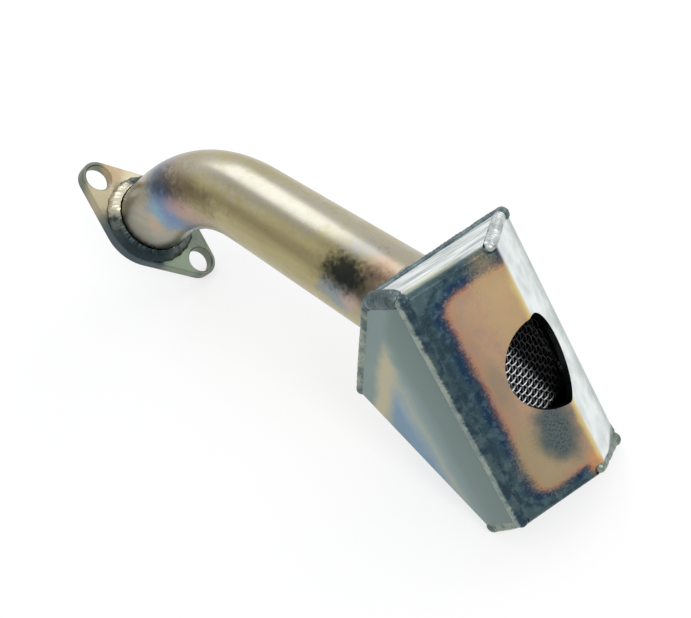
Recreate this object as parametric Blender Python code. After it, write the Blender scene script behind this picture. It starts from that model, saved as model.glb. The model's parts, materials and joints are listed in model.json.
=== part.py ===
"""Oil pickup tube: a two-bolt flange, a bent tube and a welded sheet-metal inlet box with a woven screen.

The box is modelled with its front panel in the XY plane, facing +Z, and everything else behind it.
At the end the whole part is turned so that it lies on the bench as it comes to rest.
"""

import math

import bmesh
import bpy
from mathutils import Matrix, Vector

MM = 0.001
X_AXIS = Vector((1.0, 0.0, 0.0))
Z_AXIS = Vector((0.0, 0.0, 1.0))

# The front panel, and the slope of each side, measured from square to that panel
FACE_WIDTH = 26.5 * MM
FACE_HEIGHT = 68.0 * MM
LEFT_FLARE = math.radians(20.0)
RIGHT_FLARE = math.radians(37.0)
TOP_FLARE = math.radians(3.0)
BOTTOM_FLARE = math.radians(20.0)

# How deep the sides run, and where the ridge of the back meets the left side
LEFT_DEPTH = 14.0 * MM
RIGHT_DEPTH = 17.5 * MM
RIDGE_DROP = 28.0 * MM
RIDGE_DEPTH = 39.0 * MM

# Sheet and its folds
SHEET = 1.5 * MM
FOLD_RADIUS = 2.0 * MM
FOLD_FACETS = 4

# Inlet: a round hole punched across the right-hand fold before the sheet was bent
INLET_RADIUS = 12.4 * MM
INLET_DROP = 34.0 * MM
INLET_SIDES = 48

# Tube, as a bender's data: foot on the back plate, lean from square, leg, turn, bend and stub
TUBE_RADIUS = 12.7 * MM
TUBE_WALL = 1.6 * MM
TUBE_SIDES = 40
FOOT_ALONG = 14.4 * MM
FOOT_BELOW = 15.8 * MM
LEG_LEAN = math.radians(13.5)
LEG_SIDE = math.radians(46.7)
LEG_LENGTH = 68.0 * MM
LEG_REACH = 6.0 * MM
BEND_TURN = math.radians(-167.6)
BEND_RADIUS = 65.0 * MM
BEND_ANGLE = math.radians(45.0)
BEND_STEPS = 12
STUB_LENGTH = 13.5 * MM
MOUTH_SETBACK = 0.5 * MM

# Flange
FLANGE_TURN = math.radians(37.7)
FLANGE_THICKNESS = 4.5 * MM
HUB_RADIUS = 16.5 * MM
LOBE_RADIUS = 6.0 * MM
BOLT_SPACING = 45.5 * MM
BOLT_HOLE_RADIUS = 4.5 * MM
FLANGE_EDGE_BREAK = 0.4 * MM

# Weld beads
CLEARANCE = 0.3 * MM
BEAD_RADIUS = 1.5 * MM
BEAD_SINK = 0.7 * MM
SEAM_GAP = 0.4 * MM
SEAM_DEPTH = 4.0 * MM
BEAD_PITCH = 3.0 * MM
BEAD_RIPPLE = 0.1
BEAD_SIDES = 8
FLANGE_FILLET = 3.2 * MM
FOOT_FILLET = 2.2 * MM
FILLET_STEPS = 48

# Screen: a flat square weave across the corner behind the inlet
SCREEN_LAP = 2.2 * MM
SCREEN_PITCH = 2.6 * MM
SCREEN_WIRE = 0.9 * MM
SCREEN_THICKNESS = 0.6 * MM
SCREEN_WAVE = 0.25 * MM
TACK_RADIUS = 1.1 * MM
TACK_INSET = 3.0 * MM

# Direction that faces the bench before the part settles on its three feet
BENCH_SIDE = Vector((-0.06, -0.86, -0.51))
SETTLE_STEPS = 8


def clear_scene():
    for item in list(bpy.data.objects):
        bpy.data.objects.remove(item, do_unlink=True)


def finish(name, colour, metallic, roughness):
    """A plain material for one sub-part."""
    material = bpy.data.materials.new(name)
    material.use_nodes = True
    shader = material.node_tree.nodes["Principled BSDF"]
    shader.inputs["Base Color"].default_value = (*colour, 1.0)
    shader.inputs["Metallic"].default_value = metallic
    shader.inputs["Roughness"].default_value = roughness
    return material


def add_object(name, source, material=None):
    """Make a mesh object from a bmesh or a mesh."""
    if isinstance(source, bmesh.types.BMesh):
        mesh = bpy.data.meshes.new(name)
        bmesh.ops.recalc_face_normals(source, faces=source.faces[:])
        source.to_mesh(mesh)
        source.free()
    else:
        mesh = source
    item = bpy.data.objects.new(name, mesh)
    bpy.context.scene.collection.objects.link(item)
    if material:
        mesh.materials.clear()
        mesh.materials.append(material)
    return item


def smooth(item, angle=math.radians(32.0)):
    item.data.shade_smooth()
    item.data.set_sharp_from_angle(angle=angle)


def cut(item, cutter):
    """Cut one object out of another."""
    step = item.modifiers.new("cut", "BOOLEAN")
    step.operation = "DIFFERENCE"
    step.solver = "EXACT"
    step.object = cutter


def apply_cuts(item):
    """Replace an object's mesh by its evaluated mesh."""
    bpy.context.view_layer.update()
    graph = bpy.context.evaluated_depsgraph_get()
    result = bpy.data.meshes.new_from_object(item.evaluated_get(graph))
    item.modifiers.clear()
    item.data = result
    return result


def rings_to_solid(rings, closed=False):
    """Skin equal rings of points into one closed solid, with capped ends or closed into a loop."""
    mesh = bmesh.new()
    rows = [[mesh.verts.new(point) for point in ring] for ring in rings]
    pairs = list(zip(rows, rows[1:]))
    if closed:
        pairs.append((rows[-1], rows[0]))
    count = len(rows[0])
    for near_row, far_row in pairs:
        for i in range(count):
            j = (i + 1) % count
            mesh.faces.new((near_row[i], near_row[j], far_row[j], far_row[i]))
    if not closed:
        mesh.faces.new(rows[0][::-1])
        mesh.faces.new(rows[-1])
    return mesh


def across(direction):
    """Two unit vectors square to a direction."""
    helper = X_AXIS if abs(direction.x) < 0.9 else Z_AXIS
    side = direction.cross(helper).normalized()
    return side, direction.cross(side).normalized()


def rod(start, end, radius, sides):
    """A plain round bar between two points."""
    direction = (end - start).normalized()
    side, other = across(direction)
    ring = [side * math.cos(a) + other * math.sin(a) for a in turns(sides)]
    return rings_to_solid([[p + q * radius for q in ring] for p in (start, end)])


def turns(count):
    return [2.0 * math.pi * i / count for i in range(count)]


# The faces of the box, each a point and its outward normal

half_width = FACE_WIDTH / 2.0
half_height = FACE_HEIGHT / 2.0
top_left = Vector((-half_width, half_height, 0.0))
top_right = Vector((half_width, half_height, 0.0))
bottom_left = Vector((-half_width, -half_height, 0.0))
bottom_right = Vector((half_width, -half_height, 0.0))
left_run = Vector((-math.tan(LEFT_FLARE), 0.0, -1.0))
right_run = Vector((math.tan(RIGHT_FLARE), 0.0, -1.0))
rise = Vector((0.0, math.tan(TOP_FLARE), 0.0))
fall = Vector((0.0, -math.tan(BOTTOM_FLARE), 0.0))
rim_top_left = top_left + (left_run + rise) * LEFT_DEPTH
rim_top_right = top_right + (right_run + rise) * RIGHT_DEPTH
rim_bottom_left = bottom_left + (left_run + fall) * LEFT_DEPTH
rim_bottom_right = bottom_right + (right_run + fall) * RIGHT_DEPTH
ridge_left = top_left + left_run * RIDGE_DEPTH - Vector((0.0, RIDGE_DROP, 0.0))
box_middle = Vector((0.0, 0.0, -RIGHT_DEPTH / 2.0))


def face_through(first, second, third):
    """The face through three corners, facing away from the middle of the box."""
    normal = (second - first).cross(third - first).normalized()
    if normal.dot(box_middle - first) > 0.0:
        normal = -normal
    return first, normal


FACES = {
    "front": (top_left, Z_AXIS),
    "left": face_through(top_left, bottom_left, rim_bottom_left),
    "right": face_through(top_right, bottom_right, rim_bottom_right),
    "top": face_through(top_left, top_right, rim_top_right),
    "bottom": face_through(bottom_left, bottom_right, rim_bottom_right),
    "plate": face_through(rim_top_left, rim_top_right, ridge_left),
    "back": face_through(ridge_left, rim_bottom_left, rim_bottom_right),
    "end": (rim_top_right, X_AXIS),
}

FOLDS = [("front", "right"), ("front", "top"), ("front", "bottom"), ("right", "end"), ("left", "back")]

# Each welded seam lies between its first two faces and runs from the third face to the fourth.
# A seam stops at the beads that come before it in this list.
SEAMS = {
    "front_left_bead": ("front", "left", "top", "bottom"),
    "plate_top_bead": ("plate", "top", "left", "right"),
    "bottom_back_bead": ("bottom", "back", "left", "end"),
    "plate_left_bead": ("plate", "left", "top", "back"),
    "plate_end_bead": ("plate", "end", "top", "back"),
    "top_left_bead": ("top", "left", "front", "plate"),
    "bottom_left_bead": ("bottom", "left", "front", "back"),
    "back_end_bead": ("back", "end", "plate", "bottom"),
    "ridge_bead": ("plate", "back", "left", "end"),
    "top_right_bead": ("top", "right", "front", "plate"),
    "bottom_right_bead": ("bottom", "right", "front", "back"),
}


def corner(names, inset):
    """Where three faces meet, each moved inwards by the inset."""
    normals = [FACES[name][1] for name in names]
    reach = [FACES[name][1].dot(FACES[name][0]) - inset for name in names]
    return Matrix(normals).inverted() @ Vector(reach)


def fold_facets(first, second):
    """Planes that round the outside of the fold between two faces."""
    (point_a, normal_a), (point_b, normal_b) = FACES[first], FACES[second]
    along = normal_a.cross(normal_b).normalized()
    reach = (normal_a.dot(point_a) - FOLD_RADIUS, normal_b.dot(point_b) - FOLD_RADIUS, 0.0)
    centre = Matrix((normal_a, normal_b, along)).inverted() @ Vector(reach)
    normals = [normal_a.slerp(normal_b, i / FOLD_FACETS) for i in range(1, FOLD_FACETS)]
    return [(centre + normal * FOLD_RADIUS, normal) for normal in normals]


def box_block(name, inset):
    """A solid block bounded by every face and fold of the box, moved inwards by the inset."""
    planes = list(FACES.values())
    for first, second in FOLDS:
        planes += fold_facets(first, second)
    block = bmesh.new()
    bmesh.ops.create_cube(block, size=4.0 * FACE_HEIGHT)
    for point, normal in planes:
        everything = block.verts[:] + block.edges[:] + block.faces[:]
        result = bmesh.ops.bisect_plane(
            block, geom=everything, dist=1e-7, plane_co=point - normal * inset, plane_no=normal,
            clear_outer=True)
        rim = [part for part in result["geom_cut"] if isinstance(part, bmesh.types.BMEdge)]
        if rim:
            bmesh.ops.edgeloop_fill(block, edges=rim)
    bmesh.ops.remove_doubles(block, verts=block.verts[:], dist=5e-6)
    return add_object(name, block)


def seam_ends(seam):
    """The two ends of a weld bead's centre line."""
    first, second, start, end = seam
    return corner((first, second, start), BEAD_SINK), corner((first, second, end), BEAD_SINK)


def seam_groove(name, seam):
    """The cutter that opens a seam for its bead."""
    start, end = seam_ends(seam)
    overrun = (end - start).normalized() * 2.0 * (BEAD_RADIUS + CLEARANCE)
    return add_object(name, rod(start - overrun, end + overrun, BEAD_RADIUS + CLEARANCE, 2 * BEAD_SIDES))


def seam_slit(name, seam):
    """The thin cutter that parts the two sheets of a seam, halfway between their faces."""
    first, second, start, end = seam
    aside = (FACES[first][1] - FACES[second][1]).normalized() * SEAM_GAP / 2.0
    run = (corner((first, second, end), 0.0) - corner((first, second, start), 0.0)).normalized()
    rim = []
    for inset in (-CLEARANCE, SEAM_DEPTH):
        ends = [(start, -CLEARANCE), (end, CLEARANCE)]
        if rim:
            ends.reverse()
        rim += [corner((first, second, third), inset) + run * shift for third, shift in ends]
    return add_object(name, rings_to_solid([[p - aside for p in rim], [p + aside for p in rim]]))


def weld_bead(name, seam, material):
    """A rippled bead with round ends, laid along one seam."""
    start, end = seam_ends(seam)
    length = (end - start).length
    direction = (end - start).normalized()
    side, other = across(direction)
    half_ripples = 2 * max(2, round(length / BEAD_PITCH))
    stations = [(-BEAD_RADIUS * 0.9, 0.4), (-BEAD_RADIUS * 0.6, 0.8)]
    for i in range(half_ripples + 1):
        stations.append((length * i / half_ripples, 1.0 - BEAD_RIPPLE * (i % 2)))
    stations += [(length + BEAD_RADIUS * 0.6, 0.8), (length + BEAD_RADIUS * 0.9, 0.4)]
    rings = []
    for distance, share in stations:
        centre = start + direction * distance
        radius = BEAD_RADIUS * share
        rings.append([centre + (side * math.cos(a) + other * math.sin(a)) * radius
                      for a in turns(BEAD_SIDES)])
    item = add_object(name, rings_to_solid(rings), material)
    return item


# The inlet, laid out on the flat sheet and carried over the fold

fold_turn = FACES["front"][1].angle(FACES["right"][1])
inlet_centre = top_right - Vector((0.0, INLET_DROP, 0.0))
front_inward = -X_AXIS
right_inward = right_run.normalized()


def inlet_ring(offset):
    """The inlet's edge on the folded sheet, moved outwards from the sheet by the offset."""
    bisector = (FACES["front"][1] + FACES["right"][1]).normalized()
    ring = []
    for angle in turns(INLET_SIDES):
        spread = INLET_RADIUS * math.sin(angle)
        height = Vector((0.0, INLET_RADIUS * math.cos(angle), 0.0))
        if abs(spread) < INLET_RADIUS * 0.001:
            point = bisector * (offset / math.cos(fold_turn / 2.0))
        elif spread > 0.0:
            point = right_inward * spread + FACES["right"][1] * offset
        else:
            point = front_inward * -spread + FACES["front"][1] * offset
        ring.append(inlet_centre + height + point)
    return ring


def inlet_cutter():
    return add_object("inlet_cutter", rings_to_solid([inlet_ring(-1.4 * SHEET), inlet_ring(2.0 * SHEET)]))


# The tube's frames: local -Z runs along the tube away from the box, +X is the inside of the bend

def foot_frame():
    """The tube's foot, set out on the plate from the left end of its top edge."""
    inwards = -FACES["plate"][1]
    top_edge = (rim_top_right - rim_top_left).normalized()
    below = top_edge.cross(inwards)
    plate = Matrix((top_edge, -below, inwards)).transposed().to_4x4()
    point = rim_top_left + top_edge * FOOT_ALONG + below * FOOT_BELOW
    lean = Matrix.Rotation(LEG_SIDE, 4, "Z") @ Matrix.Rotation(LEG_LEAN, 4, "Y")
    return Matrix.Translation(point) @ plate @ lean @ Matrix.Rotation(BEND_TURN, 4, "Z")


def along(frame, distance):
    return frame @ Matrix.Translation((0.0, 0.0, distance))


def bend_frame(frame, angle):
    """A frame carried round the bend by an angle."""
    centre = Matrix.Translation((BEND_RADIUS, 0.0, 0.0))
    return frame @ centre @ Matrix.Rotation(-angle, 4, "Y") @ centre.inverted()


foot = foot_frame()
bend_start = along(foot, -LEG_LENGTH)
bend_end = bend_frame(bend_start, BEND_ANGLE)
flange_back = along(bend_end, -STUB_LENGTH) @ Matrix.Rotation(FLANGE_TURN, 4, "Z")
flange_face = along(flange_back, -FLANGE_THICKNESS)


def circle(frame, radius, sides):
    return [frame @ Vector((radius * math.cos(a), radius * math.sin(a), 0.0)) for a in turns(sides)]


def pickup_tube(material):
    """One bent tube with open ends: its outer and inner skins are closed into a loop of rings."""
    stations = [along(foot, LEG_REACH), bend_start]
    stations += [bend_frame(bend_start, BEND_ANGLE * i / BEND_STEPS) for i in range(1, BEND_STEPS + 1)]
    stations.append(along(bend_end, -STUB_LENGTH - FLANGE_THICKNESS + MOUTH_SETBACK))
    outer = [circle(frame, TUBE_RADIUS, TUBE_SIDES) for frame in stations]
    inner = [circle(frame, TUBE_RADIUS - TUBE_WALL, TUBE_SIDES) for frame in stations]
    item = add_object("pickup_tube", rings_to_solid(outer + inner[::-1], closed=True), material)
    smooth(item)
    return item


def flange_outline():
    """A round hub and two small lobes, joined by straight tangents."""
    reach = BOLT_SPACING / 2.0
    tangent = math.acos((HUB_RADIUS - LOBE_RADIUS) / reach)
    arcs = [
        (reach, LOBE_RADIUS, -tangent, tangent, 14),
        (0.0, HUB_RADIUS, tangent, math.pi - tangent, 12),
        (-reach, LOBE_RADIUS, math.pi - tangent, math.pi + tangent, 14),
        (0.0, HUB_RADIUS, math.pi + tangent, 2.0 * math.pi - tangent, 12),
    ]
    outline = []
    for centre, radius, start, end, steps in arcs:
        for i in range(steps + 1):
            angle = start + (end - start) * i / steps
            outline.append(Vector((centre + radius * math.cos(angle), radius * math.sin(angle), 0.0)))
    return outline


def flange_plate(material):
    """The plate is cut to its outline, then bored for the tube and drilled for two bolts."""
    outline = flange_outline()
    rings = [[frame @ point for point in outline] for frame in (flange_back, flange_face)]
    item = add_object("flange_plate", rings_to_solid(rings), material)
    cutters = [("bore", 0.0, TUBE_RADIUS + CLEARANCE, TUBE_SIDES)]
    cutters.append(("bolt_hole_a", BOLT_SPACING / 2.0, BOLT_HOLE_RADIUS, 32))
    cutters.append(("bolt_hole_b", -BOLT_SPACING / 2.0, BOLT_HOLE_RADIUS, 32))
    tools = []
    for name, shift, radius, sides in cutters:
        centre = flange_face @ Matrix.Translation((shift, 0.0, 0.0))
        rings = [circle(along(centre, z), radius, sides)
                 for z in (-FLANGE_THICKNESS, 2.0 * FLANGE_THICKNESS)]
        tools.append(add_object(name, rings_to_solid(rings)))
        cut(item, tools[-1])
    apply_cuts(item)
    for tool in tools:
        bpy.data.objects.remove(tool, do_unlink=True)
    edge_break = item.modifiers.new("edge_break", "BEVEL")
    edge_break.width = FLANGE_EDGE_BREAK
    edge_break.segments = 1
    edge_break.limit_method = "ANGLE"
    edge_break.angle_limit = math.radians(50.0)
    smooth(item)
    return item


def fillet_section(leg):
    """Points of a fillet weld's section, as shares out from the tube and up from the plate."""
    bulge = 0.12
    points = [(0.0, 0.0), (leg, 0.0)]
    for i in range(1, 5):
        share = i / 5.0
        swell = bulge * math.sin(math.pi * share)
        points.append((leg * (1.0 - share + swell), leg * (share + swell)))
    points.append((0.0, leg))
    return points


def fillet_ring(name, frame, seat_normal, leg, material):
    """A fillet weld round the tube, on a flat seat that may lie at an angle to the tube."""
    seat = frame.translation
    tube_way = (frame.to_3x3() @ Z_AXIS).normalized()
    rings = []
    for i, angle in enumerate(turns(FILLET_STEPS)):
        outward = (frame.to_3x3() @ Vector((math.cos(angle), math.sin(angle), 0.0))).normalized()
        rim = seat + outward * TUBE_RADIUS
        rim += tube_way * ((seat - rim).dot(seat_normal) / tube_way.dot(seat_normal))
        spread = (outward - seat_normal * outward.dot(seat_normal)).normalized()
        root = rim + (spread + seat_normal) * CLEARANCE * 1.3
        size = 1.0 - BEAD_RIPPLE * (i % 2)
        rings.append([root + (spread * out - tube_way * up) * size for out, up in fillet_section(leg)])
    item = add_object(name, rings_to_solid(rings, closed=True), material)
    return item


def mesh_screen(material):
    """A woven wall: gaps between crossing wires, raised and lowered in turn where the wires cross."""
    inset = SHEET + CLEARANCE + SCREEN_WAVE
    reach = INLET_RADIUS + SCREEN_LAP
    line = corner(("front", "right", "top"), inset)
    line.y = inlet_centre.y
    front_edge = line + front_inward * reach
    right_edge = line + right_inward * reach
    width_way = (right_edge - front_edge).normalized()
    out_way = width_way.cross(Vector((0.0, 1.0, 0.0))).normalized()
    columns = int((right_edge - front_edge).length / SCREEN_PITCH)
    rows = int(2.0 * reach / SCREEN_PITCH)
    pitch_x = ((right_edge - front_edge).length - SCREEN_WIRE) / columns
    pitch_y = (2.0 * reach - SCREEN_WIRE) / rows
    gap = SCREEN_WIRE / 2.0
    mesh = bmesh.new()
    grid = {}
    for i in range(2 * (columns + 1)):
        for j in range(2 * (rows + 1)):
            x = pitch_x * (i // 2) + (SCREEN_WIRE if i % 2 else 0.0)
            y = pitch_y * (j // 2) + (SCREEN_WIRE if j % 2 else 0.0) - reach
            lift = SCREEN_WAVE * (1.0 if (i // 2 + j // 2) % 2 else -1.0)
            point = front_edge + width_way * x + Vector((0.0, y, 0.0)) + out_way * (lift - gap)
            grid[i, j] = mesh.verts.new(point)
    for i in range(2 * columns + 1):
        for j in range(2 * rows + 1):
            if i % 2 and j % 2:
                continue
            mesh.faces.new((grid[i, j], grid[i + 1, j], grid[i + 1, j + 1], grid[i, j + 1]))
    item = add_object("mesh_screen", mesh, material)
    wall = item.modifiers.new("wire_thickness", "SOLIDIFY")
    wall.thickness = SCREEN_THICKNESS
    wall.offset = 0.0
    tacks = []
    beyond = reach + TACK_RADIUS + 2.0 * CLEARANCE
    seat = corner(("front", "right", "top"), SHEET + CLEARANCE + TACK_RADIUS)
    for side_name, way in (("front", front_inward), ("right", right_inward)):
        for end_name, sign in (("upper", 1.0), ("lower", -1.0)):
            centre = seat + way * beyond
            centre.y = inlet_centre.y + sign * (reach - TACK_INSET)
            blob = bmesh.new()
            bmesh.ops.create_icosphere(blob, subdivisions=2, radius=TACK_RADIUS,
                                       matrix=Matrix.Translation(centre))
            tacks.append(add_object(f"screen_tack_{side_name}_{end_name}", blob, material))
    return [item] + tacks


def loose_part_at(mesh, point):
    """The connected part of a mesh whose surface comes nearest to a point, as a new bmesh."""
    part = bmesh.new()
    part.from_mesh(mesh)
    start = min(part.faces, key=lambda face: (face.calc_center_median() - point).length)
    kept = {start}
    todo = [start]
    while todo:
        for edge in todo.pop().edges:
            for face in edge.link_faces:
                if face not in kept:
                    kept.add(face)
                    todo.append(face)
    others = [face for face in part.faces if face not in kept]
    bmesh.ops.delete(part, geom=others, context="FACES")
    return part


def box_sheets(materials, grooves):
    """The box's three sheets: one hollow block, opened along its seams and cut for inlet and tube."""
    shell = box_block("shell", 0.0)
    hollow = box_block("hollow", SHEET)
    inlet = inlet_cutter()
    tube_hole = add_object("tube_hole", rings_to_solid([
        circle(along(foot, z), TUBE_RADIUS + CLEARANCE, TUBE_SIDES) for z in (-LEG_REACH, LEG_REACH)]))
    slits = [seam_slit(f"slit_{name}", seam) for name, seam in SEAMS.items()]
    tools = [hollow, inlet, tube_hole] + slits
    for tool in tools + grooves:
        cut(shell, tool)
    mesh = apply_cuts(shell)
    places = {
        "front_pan": (bottom_left + bottom_right) / 2.0 + Vector((0.0, half_height / 4.0, 0.0)),
        "side_back_cover": (bottom_left + ridge_left) / 2.0,
        "tube_plate": (rim_top_right + ridge_left) / 2.0,
    }
    sheets = []
    for name, point in places.items():
        sheets.append(add_object(name, loose_part_at(mesh, point), materials[name]))
        smooth(sheets[-1], math.radians(30.0))
    for tool in tools + [shell]:
        bpy.data.objects.remove(tool, do_unlink=True)
    return sheets


def settle(items):
    """The turn and shift that lay the part on three feet: the flange's rim and both ends of the box."""
    bpy.context.view_layer.update()
    graph = bpy.context.evaluated_depsgraph_get()
    points = {item.name: [v.co.copy() for v in item.evaluated_get(graph).data.vertices] for item in items}
    flange = points["flange_plate"]
    box = [p for name, group in points.items() if name not in ("flange_plate", "pickup_tube") for p in group]
    left_end = [p for p in box if p.x < 0.0]
    right_end = [p for p in box if p.x >= 0.0]
    down = BENCH_SIDE.normalized()
    for _ in range(SETTLE_STEPS):
        feet = [max(group, key=down.dot) for group in (flange, left_end, right_end)]
        normal = (feet[1] - feet[0]).cross(feet[2] - feet[0]).normalized()
        down = normal if normal.dot(down) > 0.0 else -normal
    up = -down
    ahead = box_middle - flange_face.translation
    ahead = (ahead - up * ahead.dot(up)).normalized()
    turn = Matrix((ahead, up.cross(ahead), up))
    turned = [turn @ p for group in points.values() for p in group]
    low = Vector([min(p[i] for p in turned) for i in range(3)])
    high = Vector([max(p[i] for p in turned) for i in range(3)])
    shift = -Vector(((low.x + high.x) / 2.0, (low.y + high.y) / 2.0, low.z))
    return Matrix.Translation(shift) @ turn.to_4x4()


def build():
    clear_scene()
    steel = {
        "front_pan": finish("pan_steel", (0.20, 0.19, 0.20), 0.9, 0.35),
        "side_back_cover": finish("cover_steel", (0.34, 0.36, 0.36), 0.9, 0.35),
        "tube_plate": finish("plate_steel", (0.36, 0.37, 0.36), 0.9, 0.35),
    }
    tube_steel = finish("tube_steel", (0.38, 0.34, 0.26), 0.9, 0.3)
    flange_steel = finish("flange_steel", (0.38, 0.38, 0.34), 0.9, 0.35)
    weld_metal = finish("weld_metal", (0.35, 0.37, 0.36), 0.9, 0.4)
    screen_wire = finish("screen_wire", (0.45, 0.45, 0.45), 1.0, 0.3)

    grooves = [seam_groove(f"groove_{name}", seam) for name, seam in SEAMS.items()]
    items = box_sheets(steel, grooves)
    beads = []
    for index, (name, seam) in enumerate(SEAMS.items()):
        bead = weld_bead(name, seam, weld_metal)
        for groove, earlier in zip(grooves[:index], list(SEAMS.values())[:index]):
            if set(seam[2:]) & set(earlier[:2]):
                cut(bead, groove)
        beads.append(bead)
    foot_ring = fillet_ring("tube_foot_fillet", foot, FACES["plate"][1], FOOT_FILLET, weld_metal)
    for groove, name in zip(grooves, SEAMS):
        if name in ("plate_top_bead", "plate_left_bead"):
            cut(foot_ring, groove)
    flange_normal = (flange_back.to_3x3() @ Z_AXIS).normalized()
    flange_seat = flange_back @ Matrix.Rotation(math.pi, 4, "X")
    flange_ring = fillet_ring("flange_fillet", flange_seat, flange_normal, FLANGE_FILLET, weld_metal)
    for item in beads + [foot_ring, flange_ring]:
        apply_cuts(item)
        smooth(item, math.radians(60.0))
    for groove in grooves:
        bpy.data.objects.remove(groove, do_unlink=True)

    items += beads + [foot_ring, flange_ring, pickup_tube(tube_steel), flange_plate(flange_steel)]
    items += mesh_screen(screen_wire)
    bench = bpy.data.objects.new("bench", None)
    bpy.context.scene.collection.objects.link(bench)
    for item in items:
        item.parent = bench
    bench.matrix_world = settle(items)


build()
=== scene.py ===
"""The looks of the oil pickup tube: heat-tinted steel, rippled welds and a woven wire screen."""
import json
import math

import bpy
import bmesh
import numpy as np
from mathutils import Matrix, Vector

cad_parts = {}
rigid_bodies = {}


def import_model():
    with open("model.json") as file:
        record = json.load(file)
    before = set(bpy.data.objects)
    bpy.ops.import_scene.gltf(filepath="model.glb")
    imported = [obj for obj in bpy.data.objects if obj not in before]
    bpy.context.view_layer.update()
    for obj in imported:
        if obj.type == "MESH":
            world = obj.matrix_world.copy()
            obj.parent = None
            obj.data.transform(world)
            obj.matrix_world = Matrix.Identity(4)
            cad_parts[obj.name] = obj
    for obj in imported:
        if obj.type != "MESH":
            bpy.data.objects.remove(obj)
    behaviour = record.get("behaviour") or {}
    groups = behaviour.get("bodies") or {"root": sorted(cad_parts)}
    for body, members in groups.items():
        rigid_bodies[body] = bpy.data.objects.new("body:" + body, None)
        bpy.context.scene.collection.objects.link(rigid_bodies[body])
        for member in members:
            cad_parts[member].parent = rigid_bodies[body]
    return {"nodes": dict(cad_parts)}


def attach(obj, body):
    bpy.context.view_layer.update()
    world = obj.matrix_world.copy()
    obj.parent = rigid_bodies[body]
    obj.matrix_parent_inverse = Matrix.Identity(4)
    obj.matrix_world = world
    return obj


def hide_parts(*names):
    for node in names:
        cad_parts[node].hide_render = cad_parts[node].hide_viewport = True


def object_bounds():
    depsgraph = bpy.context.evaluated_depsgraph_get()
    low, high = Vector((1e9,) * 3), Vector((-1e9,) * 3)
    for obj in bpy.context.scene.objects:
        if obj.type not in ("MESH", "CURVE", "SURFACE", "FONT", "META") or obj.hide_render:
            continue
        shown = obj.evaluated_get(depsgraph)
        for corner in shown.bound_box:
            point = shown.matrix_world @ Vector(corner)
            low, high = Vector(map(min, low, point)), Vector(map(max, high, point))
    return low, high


for leftover in list(bpy.data.objects):
    bpy.data.objects.remove(leftover)
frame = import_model()
cad_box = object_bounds()
MM = 0.001

# The pickup tube is one length of thin-walled steel tube, bent once on a mandrel, so its skin is smooth
# and drawn. The heat of the two ring welds has run temper colours up it from both ends: blue and rose
# above the flange, rose, lilac and soot in front of the box, and olive straw in between. Also painted
# into its colour are shade next to the flange weld, a dark reflection mixed with soot along the bend,
# and a pale highlight along the top of the leg.


class Signal:
    """A number, vector, colour or geometry on its way through a tree. Sums on it become Math nodes."""

    def __init__(self, socket):
        self.socket = socket

    def math(self, operation, *others):
        inputs = dict(enumerate((self, *others)))
        return Sheet(self.socket.id_data).add("ShaderNodeMath", {"operation": operation}, inputs)

    def __add__(self, other):
        return self.math("ADD", other)

    def __sub__(self, other):
        return self.math("SUBTRACT", other)

    def __mul__(self, other):
        return self.math("MULTIPLY", other)

    def __rsub__(self, other):
        return self * -1.0 + other

    __radd__ = __add__
    __rmul__ = __mul__

    def rise(self, low, high):
        """0 up to low and 1 from high, with a soft step between; falls where low is the higher."""
        return Sheet(self.socket.id_data).add(
            "ShaderNodeMapRange", {"interpolation_type": "SMOOTHSTEP"},
            {"Value": self, "From Min": low, "From Max": high})


class Sheet:
    """A node tree that is being drawn up, for a shader or for Geometry Nodes."""

    def __init__(self, tree):
        self.tree = tree

    def add(self, kind, settings=None, inputs=None, output=0):
        """One node: its settings first, then the values or links of its sockets."""
        node = self.tree.nodes.new(kind)
        for key, value in (settings or {}).items():
            if key == "stops":
                while len(node.color_ramp.elements) < len(value):
                    node.color_ramp.elements.new(1.0)
                for stop, (place, colour) in zip(node.color_ramp.elements, value):
                    stop.position = place
                    stop.color = colour
            else:
                setattr(node, key, value)
        for key, value in (inputs or {}).items():
            if isinstance(value, Signal):
                self.tree.links.new(value.socket, node.inputs[key])
            else:
                node.inputs[key].default_value = value
        return Signal(node.outputs[output]) if node.outputs else None

    def vector(self, operation, *vectors):
        """Vector Math: another vector, or a number where the operation measures one."""
        measures = operation in ("DOT_PRODUCT", "LENGTH", "DISTANCE")
        inputs = dict(enumerate(vectors))
        return self.add("ShaderNodeVectorMath", {"operation": operation}, inputs, int(measures))

    def scaled(self, vector, factor):
        """A vector made longer or shorter."""
        return self.add("ShaderNodeVectorMath", {"operation": "SCALE"}, {0: vector, "Scale": factor})

    def mix(self, share, first, second):
        """The second colour over the first, by share."""
        return self.add("ShaderNodeMix", {"data_type": "RGBA"}, {"Factor": share, 6: first, 7: second}, 2)

    def ramp(self, heat, stops):
        """The colours of stops, by a number from 0 to 1."""
        return self.add("ShaderNodeValToRGB", {"stops": stops}, {0: heat})

    def split(self, vector):
        """The three numbers of a vector."""
        first = self.add("ShaderNodeSeparateXYZ", None, {0: vector})
        return [Signal(socket) for socket in first.socket.node.outputs]

    def grain(self, place, size, detail=3.0, roughness=0.55):
        """Noise between about 0 and 1 with spots of a given size, in the units of place."""
        return self.add("ShaderNodeTexNoise", None,
                        {"Vector": place, "Scale": 1.0 / size, "Detail": detail, "Roughness": roughness})

    def spot(self, place, centre, radii, wobble, edge=0.35):
        """1 inside an egg-shaped patch and 0 outside, with its rim pushed about by wobble."""
        offset = self.vector("SUBTRACT", place, centre)
        reach = self.vector("LENGTH", self.vector("DIVIDE", offset, radii))
        return (reach + wobble).rise(1.0 + edge, 1.0 - edge)

    def patched(self, colour, place, patches, wobble, edge=0.35):
        """The colour with patches of tint over it, each by its centre, radii, shade and share."""
        for centre, radii, shade, share in patches:
            colour = self.mix(self.spot(place, centre, radii, wobble, edge) * share, colour, shade)
        return colour


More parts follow.
